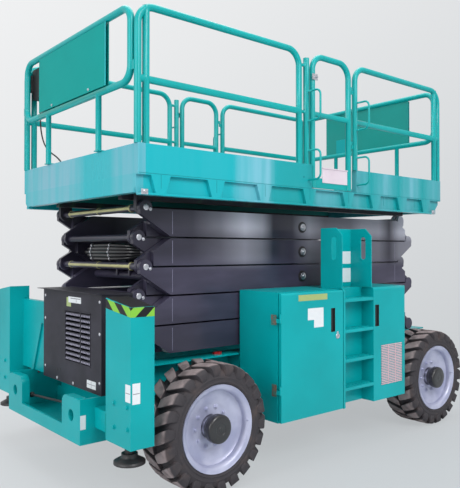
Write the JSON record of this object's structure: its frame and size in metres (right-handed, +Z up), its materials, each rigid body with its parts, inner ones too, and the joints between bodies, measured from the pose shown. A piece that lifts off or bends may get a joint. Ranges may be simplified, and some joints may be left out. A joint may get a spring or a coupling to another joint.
{
  "type": "rough-terrain scissor lift",
  "caption": "Self-propelled scissor lift with knobbly tyres, corner jacks, side cabinets, folding arm stack and railed work platform.",
  "frame": {"origin": "on the ground at the middle of the machine's length and width", "axes": "+Z up, X along the machine with the steered end at -X, +Y to the right side as seen by someone facing the steered end"},
  "size_m": [3.9, 2.296, 3.145],
  "materials": {
    "teal_paint": "gloss",
    "deck_steel": "satin",
    "axle_paint": "satin",
    "dark_cover": "satin",
    "black_steel": "satin",
    "engine": "rough",
    "tyre": "matt",
    "rim_paint": "satin",
    "hub_black": "satin",
    "arm_paint": "gloss",
    "rod_chrome": "polished",
    "control_plastic": "matt",
    "cable_rubber": "matt"
  },
  "bodies": {
    "chassis": {"chassis_frame": "teal_paint", "front_axle": "axle_paint", "rear_axle": "axle_paint", "front_cover": "dark_cover", "side_guard": "teal_paint", "hand_pump": "black_steel", "jack_housings_front": "teal_paint", "jack_housings_rear": "teal_paint", "cabinet_left": "teal_paint", "cabinet_right": "teal_paint", "ladder_left": "teal_paint", "ladder_right": "teal_paint", "engine_block": "engine"},
    "steer_left": {"knuckle_left": "axle_paint"},
    "steer_right": {"knuckle_right": "axle_paint"},
    "wheel_front_left": {"tyre_front_left": "tyre", "rim_front_left": "rim_paint", "hub_front_left": "hub_black"},
    "jack_front_left": {"jack_leg_front_left": "black_steel"},
    "wheel_front_right": {"tyre_front_right": "tyre", "rim_front_right": "rim_paint", "hub_front_right": "hub_black"},
    "jack_front_right": {"jack_leg_front_right": "black_steel"},
    "wheel_rear_left": {"tyre_rear_left": "tyre", "rim_rear_left": "rim_paint", "hub_rear_left": "hub_black"},
    "jack_rear_left": {"jack_leg_rear_left": "black_steel"},
    "wheel_rear_right": {"tyre_rear_right": "tyre", "rim_rear_right": "rim_paint", "hub_rear_right": "hub_black"},
    "jack_rear_right": {"jack_leg_rear_right": "black_steel"},
    "door_left": {"cabinet_door_left": "teal_paint"},
    "gate_left": {"gate_left": "teal_paint"},
    "door_right": {"cabinet_door_right": "teal_paint"},
    "gate_right": {"gate_right": "teal_paint"},
    "inner_1": {"inner_arms_1": "arm_paint"},
    "outer_1": {"outer_arms_1": "arm_paint"},
    "inner_2": {"inner_arms_2": "arm_paint"},
    "outer_2": {"outer_arms_2": "arm_paint"},
    "inner_3": {"inner_arms_3": "arm_paint"},
    "outer_3": {"outer_arms_3": "arm_paint"},
    "inner_4": {"inner_arms_4": "arm_paint"},
    "outer_4": {"outer_arms_4": "arm_paint"},
    "inner_5": {"inner_arms_5": "arm_paint"},
    "outer_5": {"outer_arms_5": "arm_paint"},
    "barrel": {"lift_barrel": "arm_paint"},
    "rod": {"lift_rod": "rod_chrome"},
    "platform": {"platform_frame": "teal_paint", "platform_deck": "deck_steel", "side_rails": "teal_paint", "end_rails": "teal_paint", "control_box": "control_plastic", "control_cable": "cable_rubber"}
  },
  "joints": [
    {"name": "steer_left", "type": "hinge", "parent": "chassis", "child": "steer_left", "pos_m": [-1.235, -0.915, 0.41893], "axis": [0, 0, 1], "range_deg": [-28, 28]},
    {"name": "spin_front_left", "type": "hinge", "parent": "steer_left", "child": "wheel_front_left", "pos_m": [-1.235, -0.978, 0.41893], "axis": [0, 1, 0], "continuous": true},
    {"name": "spin_rear_left", "type": "hinge", "parent": "chassis", "child": "wheel_rear_left", "pos_m": [1.299, -0.978, 0.41893], "axis": [0, 1, 0], "continuous": true},
    {"name": "jack_front_left", "type": "slide", "parent": "chassis", "child": "jack_front_left", "axis": [0, 0, -1], "range_m": [0, 0.4]},
    {"name": "jack_rear_left", "type": "slide", "parent": "chassis", "child": "jack_rear_left", "axis": [0, 0, -1], "range_m": [0, 0.32]},
    {"name": "door_left", "type": "hinge", "parent": "chassis", "child": "door_left", "pos_m": [-0.678, -1.122, 0.8], "axis": [0, 0, -1], "range_deg": [0, 110]},
    {"name": "gate_left", "type": "hinge", "parent": "platform", "child": "gate_left", "pos_m": [0.394, -0.8875, 2.6], "axis": [0, 0, -1], "range_deg": [0, 90]},
    {"name": "steer_right", "type": "hinge", "parent": "chassis", "child": "steer_right", "pos_m": [-1.235, 0.915, 0.41893], "axis": [0, 0, 1], "range_deg": [-28, 28]},
    {"name": "spin_front_right", "type": "hinge", "parent": "steer_right", "child": "wheel_front_right", "pos_m": [-1.235, 0.978, 0.41893], "axis": [0, 1, 0], "continuous": true},
    {"name": "spin_rear_right", "type": "hinge", "parent": "chassis", "child": "wheel_rear_right", "pos_m": [1.299, 0.978, 0.41893], "axis": [0, 1, 0], "continuous": true},
    {"name": "jack_front_right", "type": "slide", "parent": "chassis", "child": "jack_front_right", "axis": [0, 0, -1], "range_m": [0, 0.4]},
    {"name": "jack_rear_right", "type": "slide", "parent": "chassis", "child": "jack_rear_right", "axis": [0, 0, -1], "range_m": [0, 0.32]},
    {"name": "door_right", "type": "hinge", "parent": "chassis", "child": "door_right", "pos_m": [-0.678, 1.122, 0.8], "axis": [0, 0, 1], "range_deg": [0, 110]},
    {"name": "gate_right", "type": "hinge", "parent": "platform", "child": "gate_right", "pos_m": [0.394, 0.8875, 2.6], "axis": [0, 0, 1], "range_deg": [0, 90]},
    {"name": "lift", "type": "hinge", "parent": "chassis", "child": "inner_1", "pos_m": [-1.49, 0, 0.847], "axis": [0, -1, 0], "range_deg": [0, 52]},
    {"name": "inner_fold_2", "type": "hinge", "parent": "inner_1", "child": "inner_2", "pos_m": [1.56, 0, 1.05], "axis": [0, 1, 0], "range_deg": [0, 104]},
    {"name": "inner_fold_3", "type": "hinge", "parent": "inner_2", "child": "inner_3", "pos_m": [-1.49, 0, 1.253], "axis": [0, -1, 0], "range_deg": [0, 104]},
    {"name": "inner_fold_4", "type": "hinge", "parent": "inner_3", "child": "inner_4", "pos_m": [1.56, 0, 1.456], "axis": [0, 1, 0], "range_deg": [0, 104]},
    {"name": "inner_fold_5", "type": "hinge", "parent": "inner_4", "child": "inner_5", "pos_m": [-1.49, 0, 1.659], "axis": [0, -1, 0], "range_deg": [0, 104]},
    {"name": "cross_1", "type": "hinge", "parent": "inner_1", "child": "outer_1", "pos_m": [0.035, 0, 0.9485], "axis": [0, 1, 0], "range_deg": [0, 104]},
    {"name": "cross_2", "type": "hinge", "parent": "inner_2", "child": "outer_2", "pos_m": [0.035, 0, 1.1515], "axis": [0, -1, 0], "range_deg": [0, 104]},
    {"name": "cross_3", "type": "hinge", "parent": "inner_3", "child": "outer_3", "pos_m": [0.035, 0, 1.3545], "axis": [0, 1, 0], "range_deg": [0, 104]},
    {"name": "cross_4", "type": "hinge", "parent": "inner_4", "child": "outer_4", "pos_m": [0.035, 0, 1.5575], "axis": [0, -1, 0], "range_deg": [0, 104]},
    {"name": "cross_5", "type": "hinge", "parent": "inner_5", "child": "outer_5", "pos_m": [0.035, 0, 1.7605], "axis": [0, 1, 0], "range_deg": [0, 104]},
    {"name": "platform_level", "type": "hinge", "parent": "outer_5", "child": "platform", "pos_m": [-1.49, 0, 1.862], "axis": [0, -1, 0], "range_deg": [0, 52]},
    {"name": "barrel_tilt", "type": "hinge", "parent": "inner_3", "child": "barrel", "pos_m": [-1.25, 0, 1.505], "axis": [0, -1, 0], "range_deg": [0, 13.95]},
    {"name": "rod_slide", "type": "slide", "parent": "barrel", "child": "rod", "axis": [1, 0, -0.0049], "range_m": [0, 1.0711]}
  ],
  "couplings": [
    {"joint": "steer_right", "follows": "steer_left", "ratio": 1},
    {"joint": "inner_fold_2", "follows": "lift", "ratio": 2},
    {"joint": "inner_fold_3", "follows": "lift", "ratio": 2},
    {"joint": "inner_fold_4", "follows": "lift", "ratio": 2},
    {"joint": "inner_fold_5", "follows": "lift", "ratio": 2},
    {"joint": "cross_1", "follows": "lift", "ratio": 2},
    {"joint": "cross_2", "follows": "lift", "ratio": 2},
    {"joint": "cross_3", "follows": "lift", "ratio": 2},
    {"joint": "cross_4", "follows": "lift", "ratio": 2},
    {"joint": "cross_5", "follows": "lift", "ratio": 2},
    {"joint": "platform_level", "follows": "lift", "ratio": 1},
    {"joint": "barrel_tilt", "follows": "lift", "ratio": 0.2491},
    {"joint": "rod_slide", "follows": "lift", "m_per_rad": 1.1692}
  ]
}
